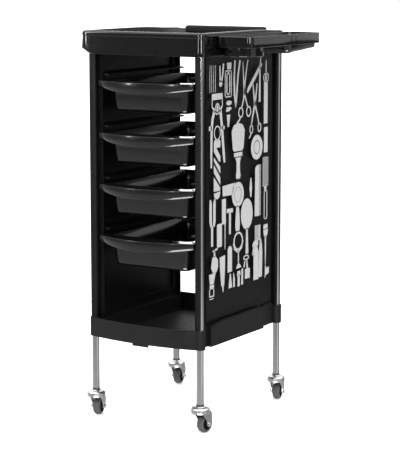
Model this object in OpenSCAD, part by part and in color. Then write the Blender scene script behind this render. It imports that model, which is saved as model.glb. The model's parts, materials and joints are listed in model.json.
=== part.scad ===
// Rolling storage trolley: four chrome posts on swivel casters carry a base shelf, two side
// panels with runners, four pull-out drawers, a top tray and a side tray with a round holder.
// Millimetres, +Z up. The origin is on the floor, midway between the four posts.
// -Y is the front, where the drawers pull out, and +X is the side that has the side tray.

/* [Frame] */
// Distance between the left and right post centres
post_span_x = 270; // [260:1:280]
// Distance between the front and back post centres
post_span_y = 325; // [315:1:335]
// Outer radius of a post tube
post_r = 8; // [7.5:0.1:8.2]
// Wall thickness of a post tube
post_wall = 1; // [0.8:0.1:1.2]
// Height of the lower end of the posts above the floor
post_z0 = 64; // [63:0.5:66]

/* [Base] */
// Underside of the base skirt
base_z0 = 182; // [178:1:188]
// Top edge of the base skirt
base_z1 = 223.5; // [222:0.5:225]
// How far the middle of the base front bows out
base_bow = 16; // [10:1:20]

/* [Drawers] */
// Vertical distance between drawers
drawer_pitch = 111.5; // [108:0.5:112]
// Top of the uppermost drawer's rim
drawer_z1 = 741; // [736:1:744]
// Depth of a drawer below its rim
drawer_depth = 65.5; // [50:0.5:70]
// Half the width of a drawer's rim
drawer_half_w = 115; // [113:0.5:115.5]
// How far the middle of the drawer front bows out
lip_bow = 34; // [28:1:38]

/* [Top tray] */
// Underside of the top tray's skirt
tray_z0 = 798; // [796:1:802]
// Top of the top tray's rim
tray_z1 = 847.5; // [845:0.5:850]
// Half the width of the top tray
tray_half_w = 157; // [155:0.5:158]
// Front of the top tray, measured from the middle
tray_front = 188; // [186:1:192]

/* [Side tray] */
// Width of the side tray
side_w = 84; // [84:0.5:88]
// Inner radius of the round holder in the side tray
holder_r = 38.5; // [36:0.5:38.5]
// Top of the side tray's rim
side_z1 = 839.5; // [838:0.5:841]

/* [Casters] */
// Wheel radius
wheel_r = 19; // [18.5:0.1:19]
// Wheel width
wheel_w = 17; // [15:0.5:17.5]
// Distance from the swivel axis to the wheel axle
trail = 14; // [12:0.5:15]

/* [Hidden] */
$fn = 64;
arc_fn = 32;

// Gaps between pieces
gap = 0.3;
running_gap = 0.06;
socket_gap = 0.1;
// Small overlap that joins two features of one piece
join = 0.5;

// Frame
post_x = post_span_x / 2;
post_y = post_span_y / 2;
post_z1 = tray_z1 - 29.5;

// Base
base_wall = 3;
base_half_w = post_x + 8;
base_web_x = post_x - 2.3;
base_floor_t = 3;
base_floor_z1 = base_z0 + base_floor_t;
socket_r = 11.5;
base_end = post_y + socket_r;
bow_r = (pow(post_x, 2) + pow(base_bow, 2)) / (2 * base_bow);
band_y0 = -130;
band_y1 = 92;
// Ears on the side walls that take the panel screws
front_ear_y = [-149, -129];
front_ear_h = 4.5;
back_ear_y = [108, 145];
back_ear_h = 6.5;
// Hollow shoulders under the feet of the panels
strip_x = drawer_half_w + 1;
strip_y = post_y - 8;
strip_z1 = base_z1 - 3.5;
front_tab_w = 40;
front_tab_h = 5;
dimple_r = 1.6;

// Panels
panel_x = post_x - 1;
panel_t = 3;
panel_half_y = 138.5;
panel_edge_y = post_y - post_r - gap;
panel_step = 5.5;
flange_x = drawer_half_w + 2;
// Round channels along the panel edges that grip the posts and are open to the outside
channel_wall = 1.2;
channel_r = post_r + gap + channel_wall;
channel_half_angle = 51;
channel_web = 5;
panel_z0 = base_z1 + 13;
panel_foot_z = strip_z1;
panel_foot_x = base_web_x - base_wall - gap;
panel_foot_y = panel_half_y + 7;
panel_z1 = tray_z1 - 28.5;
panel_screw_head_r = 2.9;
panel_screw_head_h = 1.6;

// Runners
rim_t = 3;
ledge_t = 3;
ledge_x = drawer_half_w - 9;
wedge_x = drawer_half_w - 11;
wedge_gap = 10;
wedge_root_h = 8;
wedge_tip_h = 3;
runner_half_y = panel_edge_y - 4;

// Drawers
drawer_back = 150;
drawer_front = -152;
lip_end_y = -165;
lip_back_y = lip_end_y + 8;
lip_half_w = drawer_half_w + 6;
lip_r = (pow(lip_half_w, 2) + pow(lip_bow, 2)) / (2 * lip_bow);
lip_wall = 2.6;
lip_end_h = 14;
lip_mid_h = 24;
tub_top_half_w = drawer_half_w - 13;
tub_taper = 6;
tub_front_r = 18;
tub_back_r = 12;
tub_wall = 2.2;

// Top tray
tray_back = base_end;
tray_wall = 3;
tray_front_r = 21;
tray_back_r = 38;
tray_floor_z1 = tray_z1 - 25.5;
tray_floor_t = 3;
boss_r = post_r + 2.2;
// Slanting lower edge of the left side
chamfer_w = 22;
chamfer_h = 12;
// The rim is lower along the back, and lower again behind the handle
back_drop = 5.5;
back_drop_y = [116, 150];
notch_half_w = 132;
notch_drop = 7;

// Rear handle
handle_half_l = 104.5;
handle_y = post_y - 2;
handle_size = 18;
handle_corner_r = 5;
handle_foot_x = 84;
handle_foot_r = 5;
handle_pad_r = 6.5;
handle_pad_h = 1;
handle_top = tray_z1 + 1;
screw_r = 1.9;
screw_hole_r = 2;
screw_head_r = 3.8;
screw_head_h = 2;

// Side tray
side_x0 = tray_half_w + gap;
side_x1 = side_x0 + side_w;
side_front = -137;
side_back = 166;
side_wall = 2.5;
side_z0 = side_z1 - 23;
side_corner_r = 12;
holder_wall = 3;
holder_x = side_x1 - holder_r - holder_wall;
holder_y = side_front + holder_r + holder_wall;
holder_z0 = side_z0 - 18.5;
side_floor_z1 = side_z1 - 14;
side_floor_t = 2.5;
bowl_y0 = 30;
bowl_y1 = 155;
bowl_z0 = side_z0 - 18.5;
bowl_end_r = 32;
bowl_corner_r = 10;
bowl_inset = 3;
groove_y = [34, 52];
groove_w = 3;
groove_d = 1;
side_screw_y = [-20, 120];

// Casters
stem_pin_r = 4;
collar_h = 4;
sleeve_h = 24;
crown_z1 = post_z0 - collar_h;
crown_z0 = wheel_r * 2 + 7.5;
crown_r = 20.5;
crown_neck_r = 9;
rivet_r = 6.5;
rivet_h = 2.5;
leg_t = 2;
leg_gap = 3.4;
leg_x = wheel_w / 2 + leg_gap;
leg_tip_r = 5.5;
axle_r = 2.5;
bolt_head_r = 4.5;
bolt_head_h = 2.5;
nut_r = 4.6;
nut_h = 3.2;
hub_r = 13;
hub_side_gap = 0.6;
tread_round = 3;

// Corner signs and the angle at which each caster stands
FRONT_LEFT = [-1, -1, 14];
FRONT_RIGHT = [1, -1, -10];
BACK_LEFT = [-1, 1, 8];
BACK_RIGHT = [1, 1, 12];
CORNERS = [FRONT_LEFT, FRONT_RIGHT, BACK_LEFT, BACK_RIGHT];

// ---- shared shapes ----

// Rectangle from (x0, y0) to (x1, y1) with rounded corners
module round_rect(x0, y0, x1, y1, r) {
    translate([x0 + r, y0]) square([x1 - x0 - 2 * r, y1 - y0]);
    translate([x0, y0 + r]) square([x1 - x0, y1 - y0 - 2 * r]);
    for (x = [x0 + r, x1 - r], y = [y0 + r, y1 - r]) translate([x, y]) circle(r = r);
}

// Box from one corner to the opposite one
module block(low, high) {
    translate(low) cube(high - low);
}

module upright(z0, z1) {
    translate([0, 0, z0]) linear_extrude(height = z1 - z0) children();
}

module at_post(corner) {
    translate([corner[0] * post_x, corner[1] * post_y, 0]) children();
}

// Disc segment whose curved edge bows out to the front
module bow_2d(half_w, end_y, sagitta, r, back_y) {
    intersection() {
        translate([0, end_y - sagitta + r]) circle(r = r, $fn = 180);
        translate([-half_w, end_y - sagitta - 1]) square([2 * half_w, back_y - end_y + sagitta + 1]);
    }
}

// ---- base ----

module base_outline(inset) {
    translate([-base_web_x + inset, 0]) square([2 * (base_web_x - inset), base_end - inset]);
    bow_2d(base_web_x - inset, -base_end + inset, base_bow, bow_r, 0);
}

// Raised band on one side: its outline seen from the side, y to the right and z up
module band_profile() {
    polygon([
        [band_y0, base_z0],
        [band_y1, base_z0],
        [band_y1, base_z1 + 4.5],
        [band_y1 - 6, base_z1 + 7.5],
        [60, base_z1 + 8.5],
        [-60, base_z1 + 7.5],
        [-88, base_z1 + 6.5],
        [-103, base_z1 + 5],
        [-116, base_z1 + 2.5],
        [band_y0, base_z1 + 1]
    ]);
}

// Everything on one side wall: band, ears for the panel screws, shoulder for the panel's feet
module base_side() {
    translate([base_web_x - join, 0, 0]) rotate([90, 0, 90])
        linear_extrude(height = base_half_w - base_web_x + join) band_profile();
    block([base_web_x - base_wall, front_ear_y[0], strip_z1 - join],
          [base_web_x, front_ear_y[1], base_z1 + front_ear_h]);
    block([base_web_x - base_wall, back_ear_y[0], strip_z1 - join],
          [base_web_x, back_ear_y[1], base_z1 + back_ear_h]);
    block([strip_x, -strip_y, base_floor_z1 - join],
          [base_web_x - join, strip_y, strip_z1]);
}

module base_tray() {
    color("#1b1b1c") difference() {
        union() {
            difference() {
                upright(base_z0, base_z1) base_outline(0);
                upright(base_floor_z1, base_z1 + 1) base_outline(base_wall);
            }
            for (c = CORNERS) at_post(c) upright(base_z0, base_z1) circle(r = socket_r);
            for (s = [-1, 1]) scale([s, 1, 1]) base_side();
            // finger tab under the front
            block([-front_tab_w / 2, -base_end - base_bow + 1, base_z0 - front_tab_h],
                  [front_tab_w / 2, -base_end - base_bow + base_wall + 1, base_z0 + join]);
        }
        for (c = CORNERS) at_post(c)
            upright(base_z0 - 1, base_z1 + 1) circle(r = post_r + socket_gap);
        // the bands and the shoulders are hollow from below
        for (s = [-1, 1]) scale([s, 1, 1]) {
            block([base_web_x - base_wall - join, band_y0 + base_wall, base_z0 - 1],
                  [base_half_w - base_wall, band_y1 - base_wall, strip_z1 - base_wall]);
            block([strip_x + base_wall, -strip_y + base_wall + socket_r, base_z0 - 1],
                  [base_web_x - base_wall, strip_y - base_wall - socket_r, strip_z1 - base_wall]);
        }
        // dimples beside the front sockets
        for (s = [-1, 1], z = [base_z0 + 11, base_z1 - 12.5])
            translate([s * base_web_x, band_y0 - 3.4, z]) rotate([0, 90, 0])
                cylinder(r = dimple_r, h = base_wall, center = true);
        panel_screw_sites() cylinder(r = screw_hole_r, h = 12, center = true);
    }
}

// ---- posts ----

module post(corner) {
    color("#c9ccd0") at_post(corner) difference() {
        upright(post_z0, post_z1) circle(r = post_r);
        upright(post_z0 - 1, post_z1 + 1) circle(r = post_r - post_wall);
    }
}

// ---- side panels ----

// Skin, stepped edges and inward flanges, for the +X side
module panel_plan() {
    translate([panel_x - panel_t, -panel_half_y]) square([panel_t, 2 * panel_half_y]);
    for (s = [-1, 1]) scale([1, s]) {
        translate([panel_x - panel_step - panel_t, panel_half_y - panel_t])
            square([panel_step + panel_t, panel_t]);
        translate([panel_x - panel_step - panel_t, panel_half_y - panel_t])
            square([panel_t, panel_edge_y - panel_half_y + panel_t]);
        translate([flange_x, panel_edge_y - panel_t])
            square([panel_x - panel_step - flange_x, panel_t]);
    }
}

// Channels around the posts, with the webs that join them to the stepped edges
module channel_plan() {
    mouth = 2 * channel_r;
    for (s = [-1, 1]) scale([1, s]) difference() {
        union() {
            translate([post_x, post_y]) circle(r = channel_r);
            translate([panel_x - panel_step - panel_t, panel_edge_y - panel_t])
                square([channel_web, channel_web]);
        }
        translate([post_x, post_y]) {
            circle(r = post_r + gap);
            polygon([
                [0, 0],
                [mouth, -mouth * tan(channel_half_angle)],
                [mouth, mouth * tan(channel_half_angle)]
            ]);
        }
    }
}

// Space that the ledges may fill behind the skin and its stepped edges
module runner_plan() {
    translate([wedge_x - 1, -panel_half_y + 1])
        square([panel_x - join - wedge_x + 1, 2 * panel_half_y - 2]);
    translate([wedge_x - 1, -runner_half_y])
        square([panel_x - panel_step - join - wedge_x + 1, 2 * runner_half_y]);
}

// One pair of ledges: the drawer's rim slides between them
module runner(rim_z) {
    ledge_z1 = rim_z - rim_t - gap;
    intersection() {
        upright(ledge_z1 - ledge_t, rim_z + wedge_gap + wedge_root_h) runner_plan();
        rotate([90, 0, 0]) linear_extrude(height = 2 * runner_half_y + 2, center = true) {
            polygon([
                [ledge_x, ledge_z1 - ledge_t],
                [panel_x, ledge_z1 - ledge_t],
                [panel_x, ledge_z1],
                [ledge_x, ledge_z1]
            ]);
            polygon([
                [panel_x, rim_z + wedge_gap],
                [panel_x, rim_z + wedge_gap + wedge_root_h],
                [wedge_x, rim_z + wedge_gap + wedge_tip_h],
                [wedge_x, rim_z + wedge_gap]
            ]);
        }
    }
}

module panel() {
    difference() {
        union() {
            upright(panel_z0, panel_z1) panel_plan();
            upright(base_z1 + gap, tray_z0 - gap) channel_plan();
            // stepped edges and flanges go on down to the base
            upright(panel_foot_z, panel_z0 + 1) intersection() {
                panel_plan();
                translate([0, -panel_edge_y]) square([panel_foot_x, 2 * panel_edge_y]);
            }
            // foot behind the side wall of the base, and the shelf that joins it to the skin
            block([panel_foot_x - panel_t, -panel_foot_y, panel_foot_z],
                  [panel_foot_x, panel_foot_y, panel_z0 + 1]);
            block([panel_foot_x - panel_t, -panel_half_y, panel_z0],
                  [panel_x - 1, panel_half_y, panel_z0 + panel_t]);
        }
        panel_screw_sites() cylinder(r = screw_hole_r, h = 30, center = true);
        for (s = [-1, 1]) translate([post_x, s * post_y, 0])
            cylinder(r = socket_r + gap, h = base_z1 + gap);
    }
    for (i = [0 : 3]) runner(drawer_z1 - i * drawer_pitch);
}

module left_panel() {
    color("#202021") mirror([1, 0, 0]) panel();
}

module right_panel() {
    color("#202021") panel();
}

// Where a screw goes through an ear on the base into the foot of a panel
module panel_screw_sites() {
    for (s = [-1, 1], y = [-137, 121])
        translate([s * base_web_x, y, base_z1 + 1]) rotate([0, s * 90, 0]) children();
}

module panel_screws() {
    color("#2a2a2b") panel_screw_sites() {
        translate([0, 0, -base_wall - gap - panel_t]) cylinder(r = screw_r, h = 7);
        cylinder(r = panel_screw_head_r, h = panel_screw_head_h);
    }
}

// ---- drawers ----

module tub_outline(inset, taper) {
    hull() {
        for (s = [-1, 1]) {
            translate([s * (tub_top_half_w - taper - tub_front_r), drawer_front + taper / 2 + tub_front_r])
                circle(r = tub_front_r - inset, $fn = arc_fn);
            translate([s * (tub_top_half_w - taper - tub_back_r), drawer_back - tub_back_r])
                circle(r = tub_back_r - inset, $fn = arc_fn);
        }
    }
}

module tub(inset, z0, z1) {
    hull() {
        upright(z0, z0 + 0.01) tub_outline(inset, tub_taper);
        upright(z1 - 0.01, z1) tub_outline(inset, 0);
    }
}

// Bowed front outline of the drawer rim
module lip_outline(inset) {
    bow_2d(lip_half_w - inset, lip_end_y + inset, lip_bow, lip_r, lip_back_y);
}

module drawer(index) {
    rim_z = drawer_z1 - index * drawer_pitch;
    tub_z0 = rim_z - drawer_depth;
    mid_drop = lip_mid_h - lip_end_h;
    smile_r = (pow(lip_half_w, 2) + pow(mid_drop, 2)) / (2 * mid_drop);
    color("#151516") union() {
        difference() {
            union() {
                tub(0, tub_z0, rim_z - 0.5);
                upright(rim_z - rim_t, rim_z) {
                    translate([-drawer_half_w, lip_back_y - 1])
                        square([2 * drawer_half_w, drawer_back - lip_back_y + 1]);
                    lip_outline(0);
                }
            }
            tub(tub_wall, tub_z0 + tub_wall, rim_z + 1);
        }
        // bowed apron with a smile-shaped lower edge
        intersection() {
            upright(rim_z - lip_mid_h, rim_z) difference() {
                lip_outline(0);
                translate([0, 0.01]) lip_outline(lip_wall);
                translate([-lip_half_w + lip_wall, lip_back_y - 1])
                    square([2 * (lip_half_w - lip_wall), 2]);
            }
            translate([0, 0, rim_z - lip_mid_h + smile_r]) rotate([90, 0, 0])
                cylinder(r = smile_r, h = 600, center = true, $fn = 180);
        }
    }
}

// ---- top tray ----

module tray_outline(inset) {
    round_rect(-tray_half_w + inset, -tray_front + inset, tray_half_w - inset, 60,
               tray_front_r - inset);
    round_rect(-tray_half_w + inset, -60, tray_half_w - inset, tray_back - inset,
               tray_back_r - inset);
}

// What is cut away below the slanting lower edge of the left side, set in by a distance
module chamfer_cut(inset) {
    slope = chamfer_h / chamfer_w;
    shift = inset * sqrt(1 + slope * slope) / slope;
    translate([shift, tray_back + 1, tray_z0]) rotate([90, 0, 0])
        linear_extrude(height = tray_back + tray_front + 2) polygon([
            [2 * chamfer_w - tray_half_w, -chamfer_h],
            [-tray_half_w - chamfer_w, 2 * chamfer_h],
            [-tray_half_w - chamfer_w, -chamfer_h]
        ]);
}

module top_tray() {
    color("#0d0d0e") difference() {
        union() {
            difference() {
                upright(tray_z0, tray_z1) tray_outline(0);
                difference() {
                    upright(tray_z0 - 1, tray_floor_z1 - tray_floor_t) tray_outline(tray_wall);
                    chamfer_cut(tray_wall);
                }
                // room for the top of the left panel
                block([-panel_x - gap, -panel_edge_y - gap, tray_z0 - 1],
                      [0, panel_edge_y + gap, tray_floor_z1 - tray_floor_t]);
                upright(tray_floor_z1, tray_z1 + 1) tray_outline(tray_wall);
            }
            for (c = CORNERS) at_post(c) upright(tray_z0, tray_floor_z1 - join) circle(r = boss_r);
            // pads under the feet of the handle
            handle_screw_sites() upright(-join, handle_pad_h) circle(r = handle_pad_r);
        }
        for (c = CORNERS) at_post(c)
            upright(tray_z0 - 1, post_z1 + socket_gap) circle(r = post_r + socket_gap);
        chamfer_cut(0);
        // the rim drops towards the back
        translate([-tray_half_w - 1, 0, 0]) rotate([90, 0, 90])
            linear_extrude(height = 2 * tray_half_w + 2) polygon([
                [back_drop_y[0], tray_z1],
                [back_drop_y[1], tray_z1 - back_drop],
                [tray_back + 1, tray_z1 - back_drop],
                [tray_back + 1, tray_z1 + 1],
                [back_drop_y[0], tray_z1 + 1]
            ]);
        // lower part of the back wall behind the handle
        block([-notch_half_w, tray_back - tray_wall - 1, tray_z1 - notch_drop],
              [notch_half_w, tray_back + 1, tray_z1 + 1]);
        side_screw_sites() cylinder(r = screw_hole_r, h = 20, center = true);
        handle_screw_sites() cylinder(r = screw_hole_r, h = 20, center = true);
    }
}

// ---- rear handle ----

module handle_screw_sites() {
    for (s = [-1, 1]) translate([s * handle_foot_x, handle_y - 3, tray_floor_z1]) children();
}

module rear_handle() {
    bar_z = handle_top - handle_size;
    color("#161617") difference() {
        union() {
            translate([-handle_half_l, 0, 0]) rotate([90, 0, 90])
                linear_extrude(height = 2 * handle_half_l)
                    round_rect(handle_y - handle_size / 2, bar_z, handle_y + handle_size / 2,
                               handle_top, handle_corner_r);
            handle_screw_sites() upright(handle_pad_h, bar_z - tray_floor_z1 + 1)
                circle(r = handle_foot_r);
        }
        handle_screw_sites() translate([0, 0, -1]) cylinder(r = screw_hole_r, h = 9);
    }
}

module rear_handle_screws() {
    color("#8d8f92") handle_screw_sites() {
        translate([0, 0, -tray_floor_t - join]) cylinder(r = screw_r, h = tray_floor_t + join + 7);
        translate([0, 0, -tray_floor_t - screw_head_h]) cylinder(r = screw_head_r, h = screw_head_h);
    }
}

// ---- side tray ----

module side_outline(inset) {
    round_rect(side_x0 + inset, side_front + inset, side_x1 - inset, side_back - inset,
               side_corner_r - inset);
}

module bowl_outline(inset) {
    round_rect(side_x0 + bowl_inset + inset, bowl_y0 + inset, side_x1 - bowl_inset - inset,
               bowl_y1 - inset, bowl_corner_r - inset);
}

// Bowl with a rounded lower edge at its back end, up to a level
module bowl_body(inset, top_z) {
    intersection() {
        upright(bowl_z0 + inset, top_z) bowl_outline(inset);
        translate([side_x0, 0, 0]) rotate([90, 0, 90]) linear_extrude(height = side_w) {
            translate([0, bowl_z0]) square([bowl_y1 - bowl_end_r, 60]);
            translate([0, bowl_z0 + bowl_end_r]) square([bowl_y1 - inset, 60]);
            translate([bowl_y1 - bowl_end_r, bowl_z0 + bowl_end_r])
                circle(r = bowl_end_r - inset);
        }
    }
}

module side_screw_sites() {
    for (y = side_screw_y) translate([side_x0, y, side_floor_z1 + 6.2]) rotate([0, 90, 0]) children();
}

module side_tray() {
    color("#121213") difference() {
        union() {
            difference() {
                upright(side_z0, side_z1) side_outline(0);
                upright(side_z0 - 1, side_floor_z1 - side_floor_t) side_outline(side_wall);
                upright(side_floor_z1, side_z1 + 1) side_outline(side_wall);
            }
            translate([holder_x, holder_y, 0]) upright(holder_z0, side_floor_z1)
                circle(r = holder_r + holder_wall);
            bowl_body(0, side_floor_z1);
        }
        translate([holder_x, holder_y, 0]) upright(holder_z0 - 1, side_z1) circle(r = holder_r);
        bowl_body(side_wall, side_z1);
        for (y = groove_y) block([side_x1 - groove_d, y - groove_w / 2, side_z0 - 1],
                                 [side_x1 + 1, y + groove_w / 2, side_z1 - 3]);
        side_screw_sites() cylinder(r = screw_hole_r, h = 12, center = true);
    }
}

module side_tray_screws() {
    color("#8d8f92") side_screw_sites() {
        translate([0, 0, -tray_wall - gap - 2]) cylinder(r = screw_r, h = 6 + side_wall);
        translate([0, 0, side_wall]) cylinder(r = screw_head_r, h = screw_head_h);
    }
}

// ---- casters ----

module caster_frame(corner) {
    at_post(corner) rotate([0, 0, corner[2]]) children();
}

module axle_frame(corner) {
    caster_frame(corner) translate([0, trail, wheel_r]) rotate([0, 90, 0]) children();
}

// Sleeve in the post, collar, swivel pin and its riveted end
module stem(corner) {
    color("#3a3b3d") at_post(corner) {
        upright(post_z0, post_z0 + sleeve_h) circle(r = post_r - post_wall - socket_gap);
        upright(crown_z1 + gap, post_z0) circle(r = post_r + 0.4);
        upright(crown_z0 - gap - rivet_h, post_z0) circle(r = stem_pin_r);
        upright(crown_z0 - gap - rivet_h, crown_z0 - gap) circle(r = rivet_r);
    }
}

// Outline of one fork leg, seen from the side: y to the right, z up
module leg_outline() {
    hull() {
        translate([trail, wheel_r]) circle(r = leg_tip_r, $fn = arc_fn);
        translate([-6, crown_z0]) square([trail + 15, 3]);
    }
}

module fork(corner) {
    shoulder_z = crown_z0 + 6;
    color("#c4c7cb") caster_frame(corner) difference() {
        union() {
            rotate_extrude() polygon([
                [0, crown_z0],
                [crown_r, crown_z0],
                [crown_r, shoulder_z],
                [crown_r - 2, shoulder_z + 2],
                [crown_neck_r, crown_z1],
                [0, crown_z1]
            ]);
            for (s = [-1, 1]) scale([s, 1, 1]) translate([leg_x, 0, 0]) rotate([90, 0, 90])
                linear_extrude(height = leg_t) leg_outline();
        }
        cylinder(r = stem_pin_r + running_gap, h = 200, center = true);
        translate([-50, trail, wheel_r]) rotate([0, 90, 0])
            cylinder(r = axle_r + running_gap, h = 100);
    }
}

module axle(corner) {
    reach = leg_x + leg_t;
    color("#b4b7bb") axle_frame(corner) {
        translate([0, 0, -reach - bolt_head_h]) cylinder(r = bolt_head_r, h = bolt_head_h);
        translate([0, 0, -reach - 1]) cylinder(r = axle_r, h = 2 * reach + nut_h + 1.8);
    }
}

module nut(corner) {
    color("#b4b7bb") axle_frame(corner) translate([0, 0, leg_x + leg_t]) difference() {
        cylinder(r = nut_r, h = nut_h, $fn = 6);
        translate([0, 0, -1]) cylinder(r = axle_r + 0.02, h = nut_h + 2);
    }
}

module hub(corner) {
    color("#2c2d2f") axle_frame(corner) difference() {
        union() {
            cylinder(r = hub_r, h = wheel_w - 3, center = true);
            cylinder(r = 5.5, h = 2 * (leg_x - hub_side_gap), center = true);
        }
        cylinder(r = axle_r + running_gap, h = wheel_w + 10, center = true);
    }
}

module tyre(corner) {
    color("#6d6e70") axle_frame(corner) rotate_extrude() difference() {
        translate([hub_r, -wheel_w / 2]) square([wheel_r - hub_r, wheel_w]);
        for (s = [-1, 1]) translate([wheel_r, s * wheel_w / 2]) rotate(45)
            square(tread_round * sqrt(2), center = true);
    }
}

// ---- one node at a time ----

base_tray();
top_tray();
side_tray();
side_tray_screws();
rear_handle();
rear_handle_screws();
left_panel();
right_panel();
panel_screws();
post(FRONT_LEFT);  // post_front_left
post(FRONT_RIGHT);  // post_front_right
post(BACK_LEFT);  // post_back_left
post(BACK_RIGHT);  // post_back_right
drawer(0);  // drawer_1
drawer(1);  // drawer_2
drawer(2);  // drawer_3
drawer(3);  // drawer_4
stem(FRONT_LEFT);  // stem_front_left
stem(FRONT_RIGHT);  // stem_front_right
stem(BACK_LEFT);  // stem_back_left
stem(BACK_RIGHT);  // stem_back_right
fork(FRONT_LEFT);  // fork_front_left
fork(FRONT_RIGHT);  // fork_front_right
fork(BACK_LEFT);  // fork_back_left
fork(BACK_RIGHT);  // fork_back_right
axle(FRONT_LEFT);  // axle_front_left
axle(FRONT_RIGHT);  // axle_front_right
axle(BACK_LEFT);  // axle_back_left
axle(BACK_RIGHT);  // axle_back_right
nut(FRONT_LEFT);  // nut_front_left
nut(FRONT_RIGHT);  // nut_front_right
nut(BACK_LEFT);  // nut_back_left
nut(BACK_RIGHT);  // nut_back_right
hub(FRONT_LEFT);  // hub_front_left
hub(FRONT_RIGHT);  // hub_front_right
hub(BACK_LEFT);  // hub_back_left
hub(BACK_RIGHT);  // hub_back_right
tyre(FRONT_LEFT);  // tyre_front_left
tyre(FRONT_RIGHT);  // tyre_front_right
tyre(BACK_LEFT);  // tyre_back_left
tyre(BACK_RIGHT);  // tyre_back_right
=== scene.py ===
import json
import math

import bmesh
import bpy
from mathutils import Matrix, Vector


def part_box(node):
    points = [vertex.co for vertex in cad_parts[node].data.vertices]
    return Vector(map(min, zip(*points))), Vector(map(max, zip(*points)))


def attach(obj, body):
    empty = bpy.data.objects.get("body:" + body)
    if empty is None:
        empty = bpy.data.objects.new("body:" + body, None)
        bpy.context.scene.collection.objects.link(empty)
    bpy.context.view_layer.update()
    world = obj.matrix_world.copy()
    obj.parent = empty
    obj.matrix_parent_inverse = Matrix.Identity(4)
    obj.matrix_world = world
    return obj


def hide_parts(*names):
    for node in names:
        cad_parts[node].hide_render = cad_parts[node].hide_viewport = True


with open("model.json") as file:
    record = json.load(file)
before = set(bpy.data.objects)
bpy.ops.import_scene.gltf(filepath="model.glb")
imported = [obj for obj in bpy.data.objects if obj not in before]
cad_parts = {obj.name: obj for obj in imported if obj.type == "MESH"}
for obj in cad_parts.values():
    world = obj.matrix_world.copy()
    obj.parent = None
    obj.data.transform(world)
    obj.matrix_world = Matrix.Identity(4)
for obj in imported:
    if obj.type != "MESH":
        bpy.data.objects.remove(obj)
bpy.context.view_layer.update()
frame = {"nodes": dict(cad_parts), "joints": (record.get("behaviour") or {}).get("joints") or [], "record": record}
nodes = frame["nodes"]

MM = 0.001
CORNERS = ["front_left", "front_right", "back_left", "back_right"]
SHARP_ANGLE = 35.0       # edges sharper than this, in degrees, are not smoothed
CAD_SHARP_ANGLE = 30.0
TYRE_SHARP_ANGLE = 60.0


# ---------------------------------------------------------------- camera

# Place in metres, angles in degrees, sensor and lens in millimetres, shift in picture heights
CAMERA_PLACE = (1.9702, -3.0908, 0.9907)
CAMERA_AZIMUTH = 32.08
CAMERA_PITCH = 8.24
SENSOR_WIDTH = 36.0
LENS = 132.10503
SHIFT_Y = -0.0514223


def make_camera():
    data = bpy.data.cameras.new("camera")
    data.sensor_width = SENSOR_WIDTH
    data.lens = LENS
    data.shift_y = SHIFT_Y
    data.clip_start, data.clip_end = 0.05, 60.0
    camera = bpy.data.objects.new("camera", data)
    bpy.context.scene.collection.objects.link(camera)
    azimuth, pitch = math.radians(CAMERA_AZIMUTH), math.radians(CAMERA_PITCH)
    ahead = Vector((-math.sin(azimuth) * math.cos(pitch), math.cos(azimuth) * math.cos(pitch),
                    -math.sin(pitch)))
    camera.location = CAMERA_PLACE
    camera.rotation_mode = "QUATERNION"
    camera.rotation_quaternion = ahead.to_track_quat("-Z", "Y")
    bpy.context.scene.camera = camera


# ---------------------------------------------------------------- node materials

class Graph:
    """Helpers that add nodes to a node tree."""

    def __init__(self, tree):
        self.tree = tree

    def node(self, kind):
        return self.tree.nodes.new(kind)

    def link(self, output, socket):
        self.tree.links.new(output, socket)

    def ramp(self, value, low_in, high_in, low, high, kind="LINEAR"):
        node = self.node("ShaderNodeMapRange")
        node.interpolation_type = kind
        for key, number in (("From Min", low_in), ("From Max", high_in), ("To Min", low), ("To Max", high)):
            node.inputs[key].default_value = number
        self.link(value, node.inputs["Value"])
        return node.outputs["Result"]

    def combined(self, operation, first, second):
        node = self.node("ShaderNodeMath")
        node.operation = operation
        self.link(first, node.inputs[0])
        self.link(second, node.inputs[1])
        return node.outputs[0]

    def add(self, first, second):
        return self.combined("ADD", first, second)

    def multiply(self, first, second):
        return self.combined("MULTIPLY", first, second)


class Shader(Graph):
    """A Principled material with helpers that add texture nodes in object space."""

    def __init__(self, name):
        self.material = bpy.data.materials.new(name)
        self.material.use_nodes = True
        super().__init__(self.material.node_tree)
        self.surface = self.tree.nodes["Principled BSDF"]
        self.place = self.node("ShaderNodeTexCoord").outputs["Object"]

    def set(self, **values):
        names = {"metallic": "Metallic", "roughness": "Roughness", "coat": "Coat Weight",
                 "coat_roughness": "Coat Roughness", "ior": "IOR", "specular": "Specular IOR Level"}
        for key, value in values.items():
            self.surface.inputs[names[key]].default_value = value

    def stretched(self, scale):
        node = self.node("ShaderNodeMapping")
        node.inputs["Scale"].default_value = scale
        self.link(self.place, node.inputs["Vector"])
        return node.outputs["Vector"]

    def noise(self, scale, detail=3.0, stretch=(1, 1, 1), roughness=0.5):
        """scale is in cycles per metre."""
        node = self.node("ShaderNodeTexNoise")
        node.inputs["Scale"].default_value = scale
        node.inputs["Detail"].default_value = detail
        node.inputs["Roughness"].default_value = roughness
        self.link(self.stretched(stretch), node.inputs["Vector"])
        return node.outputs["Fac"]

    def color_between(self, value, dark, light):
        node = self.node("ShaderNodeMix")
        node.data_type = "RGBA"
        node.inputs["A"].default_value = (*dark, 1.0)
        node.inputs["B"].default_value = (*light, 1.0)
        self.link(value, node.inputs["Factor"])
        self.link(node.outputs["Result"], self.surface.inputs["Base Color"])

    def roughness_from(self, value):
        self.link(value, self.surface.inputs["Roughness"])

    def bump(self, value, strength, distance):
        node = self.node("ShaderNodeBump")
        node.inputs["Strength"].default_value = strength
        node.inputs["Distance"].default_value = distance
        self.link(value, node.inputs["Height"])
        self.link(node.outputs["Normal"], self.surface.inputs["Normal"])


def grey(tone):
    return (tone, tone, tone)


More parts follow.
